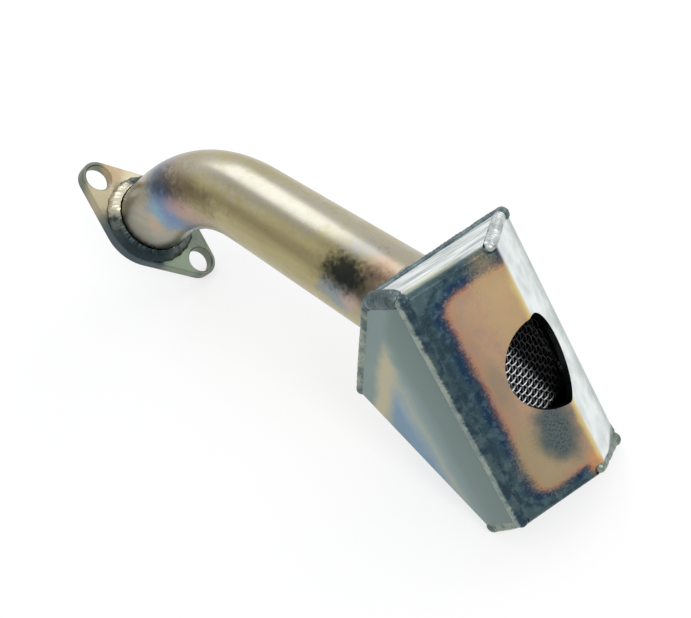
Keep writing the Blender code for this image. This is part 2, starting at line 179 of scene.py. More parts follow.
def tone(red, green, blue):
    """A screen colour, 0 to 255, as the linear colour that a shader takes."""
    linear = [((c / 255.0 + 0.055) / 1.055) ** 2.4 if c > 10 else c / 3294.6 for c in (red, green, blue)]
    return (*linear, 1.0)


def empty_sheet(owner):
    """The cleared node tree of a material or of the world."""
    owner.use_nodes = True
    owner.node_tree.nodes.clear()
    return Sheet(owner.node_tree)


def new_steel(name):
    """A bare material with its sheet and its object coordinates."""
    material = bpy.data.materials.new(name)
    sheet = empty_sheet(material)
    return material, sheet, sheet.add("ShaderNodeTexCoord", output="Object")


def finish_steel(sheet, colour, roughness, relief, relief_height=0.05 * MM, metallic=1.0):
    """Joins colour, roughness and a fine relief into one metal surface."""
    normal = sheet.add("ShaderNodeBump", None, {"Height": relief, "Strength": 0.5, "Distance": relief_height})
    surface = sheet.add("ShaderNodeBsdfPrincipled", None, {
        "Base Color": colour, "Roughness": roughness, "Metallic": metallic, "Normal": normal})
    sheet.add("ShaderNodeOutputMaterial", None, {"Surface": surface})


def plain(piece):
    """The piece with its modifiers worked into its mesh."""
    evaluated = piece.evaluated_get(bpy.context.evaluated_depsgraph_get())
    mesh = bpy.data.meshes.new_from_object(evaluated)
    piece.modifiers.clear()
    mesh.name = piece.name
    piece.data = mesh
    return piece


TOUCHING = 0.002 * MM
FLAT_ANGLE = math.radians(0.4)


def dressed(node, name, sharp_degrees, bevel=0.0):
    """A smooth copy of a CAD node. With a bevel its flat faces are joined and its edges eased; a ring
    keeps its triangles, because a flat face joined right round it would close its hole."""
    sharp_angle = math.radians(sharp_degrees)
    source = frame["nodes"][node].data
    mesh = bpy.data.meshes.new(name)
    mesh.from_pydata([v.co for v in source.vertices], [], [p.vertices[:] for p in source.polygons])
    shape = bmesh.new()
    shape.from_mesh(mesh)
    bmesh.ops.remove_doubles(shape, verts=shape.verts[:], dist=TOUCHING)
    if bevel:
        bmesh.ops.dissolve_limit(shape, angle_limit=FLAT_ANGLE, verts=shape.verts[:], edges=shape.edges[:])
    for edge in shape.edges:
        edge.smooth = edge.calc_face_angle(0.0) < sharp_angle
    for face in shape.faces:
        face.smooth = True
    shape.to_mesh(mesh)
    shape.free()
    piece = bpy.data.objects.new(name, mesh)
    bpy.context.scene.collection.objects.link(piece)
    if bevel:
        ease = piece.modifiers.new("eased_edges", "BEVEL")
        ease.width = bevel
        ease.segments = 2
        ease.angle_limit = sharp_angle
        ease.use_clamp_overlap = True
    even = piece.modifiers.new("even_light", "WEIGHTED_NORMAL")
    even.keep_sharp = True
    return plain(piece)


def seat(piece, material, slot, *nodes):
    """Gives a piece its metal and puts it in place of its CAD nodes."""
    if material:
        piece.data.materials.clear()
        piece.data.materials.append(material)
    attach(piece, "root")
    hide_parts(*nodes)


# Where the tube leaves the flange, in millimetres, and the way it runs there.
FLANGE_FACE = Vector((-83.3, -8.0, 22.5))
STUB_WAY = Vector((0.743, 0.268, 0.613))
FLANGE_HEAT_REACH = 60.0


def tube_metal():
    material, sheet, place = new_steel("tube_metal")
    place = sheet.scaled(place, 1.0 / MM)
    y = sheet.split(place)[1]
    blur = sheet.grain(place, 9.0)
    fine = sheet.grain(place, 1.6, 6.0)
    from_flange = sheet.vector("DOT_PRODUCT", sheet.vector("SUBTRACT", place, FLANGE_FACE), STUB_WAY)
    heat = from_flange * (1 / FLANGE_HEAT_REACH) + (blur - 0.5) * 0.16 + (y + 12.0) * 0.004
    # The first, darkest stop, next to the flange weld, is painted shade beside the weld; the other stops are
    # temper colours.
    colour = sheet.ramp(heat, [
        (0.00, tone(84, 90, 86)), (0.12, tone(126, 126, 116)), (0.30, tone(158, 156, 144)),
        (0.42, tone(170, 160, 138)), (0.50, tone(146, 154, 154)), (0.57, tone(116, 128, 150)),
        (0.66, tone(142, 132, 134)), (0.78, tone(156, 142, 118)), (0.90, tone(156, 145, 104)),
        (1.00, tone(168, 158, 116))])
    streak = sheet.add("ShaderNodeMapping", None, {"Vector": place, "Scale": (0.12, 1.0, 1.0)})
    drawn = sheet.grain(streak, 2.2, 4.0)
    colour = sheet.mix(drawn.rise(0.40, 0.75) * 0.28, colour, tone(134, 122, 90))
    wobble = (blur - 0.5) * 1.5 + (fine - 0.5) * 1.7
    bend_tints_and_painted_shade = (
        # The first two patches, a dark line along the bend, are partly soot and partly a painted dark
        # reflection; the rest are temper colours.
        ((-57.0, -8.5, 51.5), (11.0, 6.0, 4.5), tone(30, 36, 42), 0.88),
        ((-42.0, -8.0, 55.0), (17.0, 4.5, 3.5), tone(90, 76, 54), 0.60),
        ((-56.0, -12.0, 42.0), (7.0, 8.0, 8.0), tone(84, 122, 168), 0.60),
        ((-59.5, -13.5, 41.0), (2.5, 5.0, 5.0), tone(130, 172, 176), 0.45),
        ((-45.0, -11.5, 47.0), (9.0, 6.0, 3.5), tone(184, 146, 134), 0.45),
        ((-62.0, -14.3, 36.5), (2.5, 4.0, 4.0), tone(200, 164, 128), 0.50))
    leg_tints_and_painted_highlight = (
        # The first patch, a pale band along the top of the leg, is a painted highlight; the rest are temper
        # colours and soot near the box.
        ((-4.0, -0.5, 62.0), (50.0, 6.0, 5.0), tone(178, 174, 162), 0.75),
        ((44.0, 0.0, 50.0), (9.0, 20.0, 20.0), tone(166, 160, 148), 0.60),
        ((30.0, -11.0, 58.0), (12.0, 8.0, 7.0), tone(108, 100, 76), 0.50),
        ((38.5, -7.0, 61.0), (5.0, 3.5, 4.0), tone(178, 140, 116), 0.55),
        ((29.7, -4.5, 61.4), (6.0, 3.5, 3.0), tone(148, 148, 156), 0.45),
        ((37.0, -12.0, 58.5), (6.0, 5.0, 4.0), tone(92, 80, 68), 0.75),
        ((28.0, -15.4, 53.0), (6.0, 4.0, 4.5), tone(124, 138, 150), 0.70),
        ((33.0, -15.5, 53.5), (3.0, 3.0, 3.0), tone(188, 160, 148), 0.60),
        ((29.0, -11.5, 58.5), (6.5, 4.5, 4.0), tone(30, 36, 34), 0.92))
    colour = sheet.patched(colour, place, bend_tints_and_painted_shade + leg_tints_and_painted_highlight, wobble, 0.6)
    finish_steel(sheet, colour, 0.18 + 0.12 * blur + 0.10 * fine, drawn + fine * 0.15, 0.02 * MM)
    return material


seat(dressed("pickup_tube", "bent_tube", 40.0, 0.25 * MM), tube_metal(), "tube_steel", "pickup_tube")

# The flange is a two-eared plate, cut from 4.5 mm bar and drilled for two bolts, with its rim left dark
# from the heat. It is welded to the tube with one ring of fillet weld, painted pale as a highlight where
# the light catches it and painted nearly black as shade where it doesn't.


def flange_metal():
    material, sheet, place = new_steel("flange_metal")
    place = sheet.scaled(place, 1.0 / MM)
    blur = sheet.grain(place, 6.0)
    fine = sheet.grain(place, 0.8, 6.0)
    colour = sheet.mix(blur.rise(0.35, 0.65), tone(92, 102, 94), tone(118, 122, 108))
    colour = sheet.patched(colour, place, (
        ((-88.0, -16.0, 39.0), (6.0, 6.0, 7.0), tone(184, 172, 142), 0.75),
        ((-92.0, -1.5, 38.0), (7.0, 6.0, 7.0), tone(194, 186, 158), 0.85),
        ((-93.5, -6.5, 41.5), (4.5, 5.0, 4.0), tone(172, 148, 118), 0.80),
        ((-77.0, -22.0, 27.0), (9.0, 8.0, 9.0), tone(66, 80, 88), 0.90),
        ((-71.0, -19.0, 19.0), (8.0, 8.0, 8.0), tone(60, 74, 80), 0.90),
        ((-68.0, -9.0, 11.8), (7.0, 6.0, 7.0), tone(128, 142, 122), 0.80)), (blur - 0.5) * 1.4)
    above_face = sheet.vector("DOT_PRODUCT", sheet.vector("SUBTRACT", place, FLANGE_FACE), STUB_WAY)
    colour = sheet.mix(above_face.rise(-0.5, -1.2) * 0.65, colour, tone(60, 68, 64))
    colour = sheet.mix(fine.rise(0.56, 0.74) * 0.35, colour, tone(84, 84, 70))
    finish_steel(sheet, colour, 0.30 + 0.22 * blur, fine, 0.04 * MM)
    return material


seat(dressed("flange_plate", "flange", 35.0, 0.5 * MM), flange_metal(), "flange_steel", "flange_plate")


def weld_metal(name, bright, dark, pit_share, patches=()):
    """Weld metal: glossy ripples with dull scale and dark pits between them."""
    material, sheet, place = new_steel(name)
    place = sheet.scaled(place, 1.0 / MM)
    blur = sheet.grain(place, 5.0)
    fine = sheet.grain(place, 0.7, 5.0)
    colour = sheet.mix(blur.rise(0.36, 0.62), bright, dark)
    if patches:
        colour = sheet.patched(colour, place, patches, (blur - 0.5) * 1.2)
    colour = sheet.mix(fine.rise(0.52, 0.66) * pit_share, colour, tone(44, 50, 48))
    finish_steel(sheet, colour, 0.24 + 0.22 * fine, fine, 0.12 * MM)
    return material


def new_tree(name, inputs):
    """An empty Geometry Nodes tree with named inputs, its sheet and those inputs as signals."""
    tree = bpy.data.node_groups.new(name, "GeometryNodeTree")
    tree.interface.new_socket("Geometry", in_out="OUTPUT", socket_type="NodeSocketGeometry")
    for label, kind in inputs:
        tree.interface.new_socket(label, in_out="INPUT", socket_type="NodeSocket" + kind)
    sheet = Sheet(tree)
    entry = sheet.add("NodeGroupInput").socket.node
    return tree, sheet, {label: Signal(entry.outputs[label]) for label, _ in inputs}


def close_tree(sheet, geometry, metal):
    """The last nodes of every tree: plain geometry, smooth, in its metal unless it has one already."""
    real = sheet.add("GeometryNodeRealizeInstances", None, {0: geometry})
    smooth = sheet.add("GeometryNodeSetShadeSmooth", None, {0: real})
    if metal:
        smooth = sheet.add("GeometryNodeSetMaterial", None, {"Geometry": smooth, "Material": metal})
    sheet.add("NodeGroupOutput", None, {0: smooth})


def made_by(tree, name, values, start=None):
    """The plain mesh that a tree makes from named sizes, and from a starting piece if it needs one."""
    piece = start or bpy.data.objects.new(name, bpy.data.meshes.new(name))
    if not start:
        bpy.context.scene.collection.objects.link(piece)
    maker = piece.modifiers.new("maker", "NODES")
    maker.node_group = tree
    for socket in tree.interface.items_tree:
        if socket.in_out == "INPUT" and socket.name in values:
            maker[socket.identifier] = values[socket.name]
    piece.update_tag()
    return plain(piece)


def ring_weld_tree():
    """Ripples round a ring of fillet weld: crescents by the angle round it, lumps by noise."""
    tree, sheet, given = new_tree("ring_weld", [
        ("Ring", "Geometry"), ("Centre", "Vector"), ("Axis", "Vector"), ("Side", "Vector"),
        ("Ripples", "Float"), ("Height", "Float"), ("Lumps", "Float"), ("Metal", "Material")])
    ring = sheet.add("GeometryNodeSubdivideMesh", None, {"Mesh": given["Ring"], "Level": 3})
    place = sheet.add("GeometryNodeInputPosition")
    normal = sheet.add("GeometryNodeInputNormal")
    arm = sheet.vector("SUBTRACT", place, given["Centre"])
    across = sheet.vector("CROSS_PRODUCT", given["Axis"], given["Side"])
    ahead = sheet.vector("DOT_PRODUCT", arm, given["Side"])
    angle = sheet.vector("DOT_PRODUCT", arm, across).math("ARCTAN2", ahead)
    lean = sheet.vector("DOT_PRODUCT", normal, given["Axis"]) - 0.6
    crest = (angle * given["Ripples"] + lean * lean * 2.6).math("SINE").math("ABSOLUTE")
    lump = sheet.add("ShaderNodeTexNoise", None, {"Vector": place, "Scale": 260.0, "Detail": 2.0})
    lift = crest * given["Height"] + (lump - 0.5) * given["Lumps"]
    push = sheet.scaled(normal, lift)
    moved = sheet.add("GeometryNodeSetPosition", None, {"Geometry": ring, "Offset": push})
    close_tree(sheet, moved, given["Metal"])
    return tree


ring_tree = ring_weld_tree()
# The first patch is a painted highlight on the weld's upper left and the second painted shade under the tube;
# the third is a pale tint on the weld at the box.
ring_metal = weld_metal("ring_weld_metal", tone(96, 104, 98), tone(58, 66, 66), 0.25, (
    ((-85.0, -12.0, 38.0), (7.0, 7.0, 9.0), tone(226, 218, 192), 0.9),
    ((-71.0, -19.0, 22.0), (10.0, 9.0, 10.0), tone(42, 54, 58), 0.95),
    ((47.0, -5.0, 50.0), (8.0, 20.0, 20.0), tone(176, 176, 166), 0.8)))
RING_RIPPLE_HEIGHT = 0.16 * MM
RING_LUMPS = 0.3 * MM


def ring_weld(node, name, centre, axis, ripples):
    """One ring of fillet weld, rippled round its axis, in place of its CAD node."""
    ring = made_by(ring_tree, name, {
        "Centre": centre, "Axis": axis, "Side": axis.orthogonal().normalized(), "Ripples": ripples,
        "Height": RING_RIPPLE_HEIGHT, "Lumps": RING_LUMPS, "Metal": ring_metal}, dressed(node, name, 60.0))
    seat(ring, None, "weld_metal", node)


ring_weld("flange_fillet", "flange_weld", FLANGE_FACE * MM, STUB_WAY, 24.0)

# The inlet box is folded from 1.5 mm steel sheet in three pieces: a front pan with its sides, one cover
# for the left side and lower back, and a plate that the tube enters. The folds are round, the edges are
# cut square, and the welded edges carry the strongest temper colours: slate, navy, rust and bronze.


def main_axis(points):
    """The middle of a long thin piece, the way it runs and half its length."""
    middle = points.mean(axis=0)
    way = np.linalg.svd(points - middle, full_matrices=False)[2][0]
    return Vector(middle), Vector(way), float(np.abs((points - middle) @ way).max())


def node_points(node):
    """The corners of a CAD node's mesh."""
    return np.array([v.co for v in frame["nodes"][node].data.vertices])


def panel_frame():
    """The front panel's own axes: x across it, y up its welded side, z out of it, from its middle."""
    mesh = frame["nodes"]["front_pan"].data
    largest = {}
    for face in mesh.polygons:
        key = tuple(round(n, 2) for n in face.normal)
        largest[key] = largest.get(key, 0.0) + face.area
    facing = max((key for key in largest if key[0] > 0.7), key=largest.get)
    flat = [f for f in mesh.polygons if tuple(round(n, 2) for n in f.normal) == facing]
    out = max(flat, key=lambda f: f.area).normal.normalized()
    up = main_axis(node_points("front_left_bead"))[1]
    up = up if up.z > 0.0 else -up
    up = (up - out * up.dot(out)).normalized()
    across = up.cross(out)
    corners = np.array([mesh.vertices[i].co for f in flat for i in f.vertices])
    centre = Vector()
    for way in (across, up, out):
        reach = corners @ np.array(way)
        centre += way * float(reach.min() + reach.max()) / 2.0
    return Matrix((across, up, out)).transposed(), centre


panel_turn, panel_centre = panel_frame()
box_middle = Vector(node_points("front_pan").mean(axis=0))
foot_middle = main_axis(node_points("tube_foot_fillet"))[0]


def box_steel(name):
    """A bare metal for the box, with its places in millimetres along the front panel's axes."""
    material, sheet, place = new_steel(name)
    place = sheet.add("ShaderNodeMapping", {"vector_type": "TEXTURE"}, {
        "Vector": place, "Location": panel_centre, "Rotation": panel_turn.to_euler(), "Scale": (MM, MM, MM)})
    return material, sheet, place


# The front panel's edges and its dark blotch, in millimetres from the panel's middle.
PANEL_LEFT = -13.3
PANEL_TOP = 33.5
PANEL_FOOT = -34.5
BLOTCH = (5.8, -16.5, 0.0)


def pan_metal():
    material, sheet, place = box_steel("pan_metal")
    x, y, z = sheet.split(place)
    blur = sheet.grain(place, 7.0)
    cloud = sheet.grain(place, 3.0, 4.0, 0.65)
    fine = sheet.grain(place, 0.55, 6.0, 0.7)
    wobble = (blur - 0.5) * 0.16 + (fine - 0.5) * 0.34
    left = (x - PANEL_LEFT).rise(15.0, -0.5)
    top = (PANEL_TOP - y).rise(11.0, -1.0)
    foot = (y - PANEL_FOOT).rise(10.0, -0.5)
    heat = (left * left + top * top + foot * foot).math("SQRT") + wobble
    face = sheet.ramp(heat, [
        (0.00, tone(178, 148, 120)), (0.22, tone(168, 140, 114)), (0.36, tone(172, 134, 108)),
        (0.44, tone(142, 104, 92)), (0.50, tone(88, 76, 84)), (0.58, tone(40, 56, 80)),
        (0.70, tone(32, 56, 80)), (0.82, tone(58, 80, 88)), (0.92, tone(46, 64, 74)),
        (1.00, tone(72, 90, 94))])
    patchy = heat.rise(0.46, 0.66)
    face = sheet.mix(cloud.rise(0.48, 0.62) * patchy * 0.65, face, tone(84, 106, 112))
    face = sheet.mix(blur.rise(0.52, 0.62) * patchy * y.rise(-4.0, 8.0) * 0.6, face, tone(40, 52, 62))
    face = sheet.mix(cloud.rise(0.52, 0.40) * (1.0 - patchy) * 0.45, face, tone(158, 138, 124))
    push = (blur - 0.5) * 1.0 + (fine - 0.5) * 1.3
    face = sheet.patched(face, place, (
        ((8.0, 20.0, 0.0), (5.0, 12.0, 4.0), tone(190, 166, 122), 0.50),
        ((-2.0, 2.0, 0.0), (2.5, 6.0, 4.0), tone(124, 124, 108), 0.40),
        ((1.0, -20.0, 0.0), (8.0, 9.0, 5.0), tone(162, 150, 116), 0.70),
        (BLOTCH, (5.6, 8.2, 5.0), tone(86, 102, 104), 0.92),
        ((12.3, -31.0, -0.5), (3.0, 4.0, 3.0), tone(206, 152, 104), 0.80)), push, 0.45)
    speckle = sheet.spot(place, BLOTCH, (5.0, 8.0, 5.0), push, 0.5) * fine.rise(0.46, 0.60)
    face = sheet.mix(speckle * 0.75, face, tone(44, 56, 66))
    # A straw line along the fold to the right side: partly temper colour, partly a painted highlight on the
    # fold's round.
    fold_straw_and_highlight = (x + (blur - 0.5) * 2.0).rise(11.2, 12.8) * y.rise(-33.0, -28.0) * y.rise(31.0, 20.0)
    face = sheet.mix(fold_straw_and_highlight * 0.65, face, tone(222, 204, 128))

    streak = sheet.add("ShaderNodeMapping", None, {"Vector": place, "Scale": (0.10, 1.0, 1.0)})
    brushed = sheet.grain(streak, 1.2, 5.0)
    right = sheet.mix(blur.rise(0.35, 0.7), tone(230, 234, 234), tone(204, 211, 209))
    right = sheet.mix((z * -1.0 + (cloud - 0.5) * 6.0).rise(12.0, 17.0) * 0.65, right, tone(158, 170, 163))
    right = sheet.mix(cloud.rise(0.62, 0.75) * 0.25, right, tone(140, 150, 144))
    lid = sheet.mix(brushed.rise(0.35, 0.65), tone(236, 238, 236), tone(172, 180, 178))
    lid = sheet.mix((z * -1.0).rise(5.0, 1.0) * x.rise(9.0, -2.0) * 0.7, lid, tone(170, 176, 118))
    bottom = sheet.mix(blur, tone(96, 112, 116), tone(150, 158, 150))
    sides = sheet.mix(y.rise(32.0, 34.5), right, lid)
    sides = sheet.mix(y.rise(-33.6, -34.8), sides, bottom)
    colour = sheet.mix((z + (cloud - 0.5) * 0.8).rise(-2.4, -0.4), sides, face)
    finish_steel(sheet, colour, 0.26 + 0.20 * blur + 0.16 * fine, fine + cloud * 1.5)
    return material


# The tip of the straw wedge on the cover: how far up and how deep it lies behind the front panel.
WEDGE_UP = 19.5
WEDGE_DEPTH = -16.0


def cover_metal():
    material, sheet, place = box_steel("cover_metal")
    _, y, z = sheet.split(place)
    blur = sheet.grain(place, 9.0)
    fine = sheet.grain(place, 0.6, 6.0, 0.7)
    speck = (fine - 0.5) * 1.2
    depth = z * -1.0 + (blur - 0.5) * 6.0 + speck
    above = (y - WEDGE_UP) * 0.684 - (z - WEDGE_DEPTH) * 0.730 + (blur - 0.5) * 4.0 + speck
    colour = sheet.ramp(depth * (1 / 30), [
        (0.00, tone(106, 122, 120)), (0.35, tone(116, 132, 128)), (0.50, tone(128, 147, 146)),
        (0.60, tone(154, 162, 154)), (0.68, tone(138, 156, 162)), (0.78, tone(116, 144, 166)),
        (1.00, tone(118, 142, 156))])
    colour = sheet.mix(above.rise(-7.0, -2.5) * depth.rise(12.5, 17.0), colour, tone(176, 170, 144))
    colour = sheet.mix(above.rise(-1.0, 2.5), colour, tone(126, 142, 140))
    colour = sheet.mix(fine.rise(0.55, 0.75) * 0.30, colour, tone(96, 108, 104))
    finish_steel(sheet, colour, 0.34 + 0.16 * blur, fine)
    return material


def plate_metal():
    material, sheet, place = box_steel("plate_metal")
    blur = sheet.grain(place, 8.0)
    fine = sheet.grain(place, 0.6, 6.0, 0.7)
    foot = panel_turn.transposed() @ (foot_middle - panel_centre) / MM
    heat = (sheet.vector("DISTANCE", place, foot) - 13.0) * (1 / 14) + (blur - 0.5) * 0.45
    colour = sheet.ramp(heat, [
        (0.00, tone(150, 160, 154)), (0.22, tone(116, 132, 136)), (0.36, tone(64, 84, 108)),
        (0.48, tone(128, 100, 98)), (0.60, tone(182, 148, 112)), (0.74, tone(176, 168, 140)),
        (0.90, tone(142, 152, 146))])
    colour = sheet.mix(fine.rise(0.55, 0.75) * 0.25, colour, tone(90, 100, 98))
    finish_steel(sheet, colour, 0.34 + 0.16 * blur, fine)
    return material


INLET_PLACE = Vector((13.2, 0.0, 0.0))
INLET_REACH = 13.0 * MM
PUNCHED_AREA = 8.0 * MM * MM
INNER_DEPTH = 3.0 * MM
# Painted shade: a nearly black metal for the inside of the box.
inside_shade_metal = weld_metal("inside_shade_metal", tone(38, 39, 40), tone(24, 24, 26), 0.2)


def shade_inside(piece):
    """The inner faces and the punched edge of the inlet, painted nearly black as the shade inside the box."""
    piece.data.materials.append(inside_shade_metal)
    inlet = panel_turn @ (INLET_PLACE * MM) + panel_centre
    for face in piece.data.polygons:
        punched = (face.center - inlet).length < INLET_REACH and face.area < PUNCHED_AREA
        if punched or face.normal.dot(box_middle - face.center) > INNER_DEPTH:
            face.material_index = 1


for node, name, metal, slot in (("front_pan", "pan_sheet", pan_metal(), "pan_steel"),
                                ("side_back_cover", "cover_sheet", cover_metal(), "cover_steel"),
                                ("tube_plate", "plate_sheet", plate_metal(), "plate_steel")):
    wall = dressed(node, name, 35.0, 0.2 * MM)
    seat(wall, metal, slot, node)
    shade_inside(wall)

LEG_WAY = Vector((0.995, -0.094, -0.013))
ring_weld("tube_foot_fillet", "foot_weld", foot_middle, -LEG_WAY, 20.0)

# The box is closed by beads of weld, laid by hand along every open corner without much filler: low,
# grey-green crescents that wander a little, with dark pits, and a round end where three corners meet.


def joined(sheet, *parts):
    """The parts of a tree as one geometry."""
    together = sheet.add("GeometryNodeJoinGeometry")
    for part in parts:
        sheet.tree.links.new(part.socket, together.socket.node.inputs[0])
    return together


def seam_weld_tree():
    """One bead from end to end, with crescent ripples bowed over its crown and a ball at each end."""
    tree, sheet, given = new_tree("seam_weld", [
        ("Start", "Vector"), ("End", "Vector"), ("Outward", "Vector"), ("Radius", "Float"),
        ("Ripple", "Float"), ("Height", "Float"), ("Lumps", "Float"), ("Wander", "Float"),
        ("Seed", "Float"), ("Metal", "Material")])
    line = sheet.add("GeometryNodeCurvePrimitiveLine", None, {"Start": given["Start"], "End": given["End"]})
    path = sheet.add("GeometryNodeResampleCurve", None, {"Curve": line, "Count": 160})
    place = sheet.add("GeometryNodeInputPosition")
    drift = sheet.add("ShaderNodeTexNoise", {"noise_dimensions": "4D"}, {
        "Vector": place, "W": given["Seed"], "Scale": 110.0, "Detail": 1.0}, "Color")
    sway = sheet.scaled(sheet.vector("SUBTRACT", drift, (0.5, 0.5, 0.5)), given["Wander"])
    bent = sheet.add("GeometryNodeSetPosition", None, {"Geometry": path, "Offset": sway})
    along = sheet.add("GeometryNodeSplineParameter", output="Length")
    stored = sheet.add("GeometryNodeStoreNamedAttribute", {"data_type": "FLOAT", "domain": "POINT"},
                       {"Geometry": bent, "Name": "along", "Value": along})
    ring = sheet.add("GeometryNodeCurvePrimitiveCircle", None, {"Resolution": 24, "Radius": given["Radius"]})
    bead = sheet.add("GeometryNodeCurveToMesh", None,
                     {"Curve": stored, "Profile Curve": ring, "Fill Caps": True})
    ball = sheet.add("GeometryNodeMeshIcoSphere", None, {"Radius": given["Radius"], "Subdivisions": 4})
    ends = sheet.add("GeometryNodeMeshLine", {"mode": "END_POINTS"},
                     {"Count": 2, "Start Location": given["Start"], "Offset": given["End"]})
    balls = sheet.add("GeometryNodeInstanceOnPoints", None, {"Points": ends, "Instance": ball})
    balls = sheet.add("GeometryNodeRealizeInstances", None, {0: balls})
    together = joined(sheet, bead, balls)
    normal = sheet.add("GeometryNodeInputNormal")
    crown = sheet.vector("DOT_PRODUCT", normal, given["Outward"])
    far = sheet.add("GeometryNodeInputNamedAttribute", {"data_type": "FLOAT"}, {"Name": "along"})
    phase = (far + (1.0 - crown) * given["Radius"] * 0.9) * math.pi
    crest = phase.math("DIVIDE", given["Ripple"]).math("SINE").math("ABSOLUTE")
    lump = sheet.add("ShaderNodeTexNoise", {"noise_dimensions": "4D"}, {
        "Vector": place, "W": given["Seed"], "Scale": 420.0, "Detail": 3.0})
    lift = crest * given["Height"] + (lump - 0.5) * given["Lumps"]
    moved = sheet.add("GeometryNodeSetPosition", None,
                      {"Geometry": together, "Offset": sheet.scaled(normal, lift)})
    close_tree(sheet, moved, given["Metal"])
    return tree


def front_seam_metal():
    """The long front seam, ground nearly flush: grey-green on the cover's side, slate on the panel's."""
    material, sheet, place = box_steel("front_seam_metal")
    x, _, z = sheet.split(place)
    blur = sheet.grain(place, 4.0)
    fine = sheet.grain(place, 0.7, 5.0)
    side = (x + z * 0.9 + (fine - 0.5) * 1.6 + (blur - 0.5) * 1.2).rise(-14.6, -13.6)
    panel = sheet.mix(blur.rise(0.4, 0.6), tone(78, 96, 100), tone(50, 68, 80))
    cover = sheet.mix(blur.rise(0.4, 0.6), tone(146, 156, 146), tone(118, 132, 130))
    colour = sheet.mix(side, cover, panel)
    colour = sheet.mix(fine.rise(0.56, 0.68) * 0.5, colour, tone(48, 56, 56))
    finish_steel(sheet, colour, 0.26 + 0.22 * fine, fine, 0.10 * MM)
    return material


# Most of a bead is sunk in its groove. These say how deep its middle lies under the two faces, how far
# the groove's own round is sunk and how wide it is, how far the bead laps it, and where the bead stops.
BEAD_DEPTH = 1.5 * MM
SEAM_SINK = 0.7 * MM
GROOVE_RADIUS = 1.8 * MM
LAP = 0.15 * MM
END_TRIM = 2.2 * MM
CROWN_DROP = 0.55 * MM
LEAST_PROUD = 0.15 * MM
FACE_AREA = 15.0 * MM * MM
seam_tree = seam_weld_tree()
seam_metal = weld_metal("seam_weld_metal", tone(138, 150, 138), tone(92, 104, 102), 0.55)
silver_metal = weld_metal("silver_weld_metal", tone(208, 212, 210), tone(158, 166, 164), 0.40)
slate_metal = weld_metal("slate_weld_metal", tone(106, 120, 120), tone(76, 90, 94), 0.40)
seam_metals = {"front_left_bead": front_seam_metal(), "top_right_bead": silver_metal,
               "top_left_bead": slate_metal, "plate_top_bead": slate_metal}


def corner_faces(middle, ends):
    """The outward ways of the two sheet faces that meet along a seam."""
    ways = []
    for node in ("front_pan", "side_back_cover", "tube_plate"):
        for face in frame["nodes"][node].data.polygons:
            cover = [(face.center - end).dot(face.normal) for end in ends]
            near = all(0.0 < c < 1.0 * MM for c in cover)
            new = all(face.normal.dot(way) < 0.97 for way in ways)
            outer = face.normal.dot(middle - box_middle) > 0.0
            if near and new and outer and face.area > FACE_AREA:
                ways.append(face.normal.copy())
    return ways


beads = [name for name in sorted(frame["nodes"]) if name.endswith("_bead")]
for number, name in enumerate(beads):
    middle, way, half = main_axis(node_points(name))
    faces = corner_faces(middle, [middle - way * half, middle + way * half])
    outward = sum(faces, Vector()).normalized()
    slope = outward.dot(faces[0])
    flat = math.sqrt(1.0 - slope * slope)
    lip = SEAM_SINK * flat + math.sqrt(GROOVE_RADIUS ** 2 - (SEAM_SINK * slope) ** 2)
    depth = min(BEAD_DEPTH, CROWN_DROP / (1.0 / slope - 1.0))
    radius = max(depth + LEAST_PROUD, math.hypot(depth, lip + LAP - depth * flat / slope))
    middle = middle - outward * (depth / slope - SEAM_SINK)
    reach = way * (half - END_TRIM)
    bead = made_by(seam_tree, name.replace("_bead", "_weld"), {
        "Start": middle - reach, "End": middle + reach, "Outward": outward, "Radius": radius,
        "Ripple": 1.2 * MM, "Height": 0.09 * MM, "Lumps": 0.45 * MM, "Wander": 0.4 * MM,
        "Seed": 3.0 + number, "Metal": seam_metals.get(name, seam_metal)})
    seat(bead, None, "weld_metal", name)

# The screen is plain woven steel wire cloth, about 1.5 mm from wire to wire, cut to the corner behind the
# inlet and held by four small tacks. The wires are painted bright where light falls through the inlet and
# painted nearly black as shade further in, and one set is painted much paler than the other as a highlight.
SCREEN_PITCH = 1.54 * MM
SCREEN_WIRE = 0.40 * MM


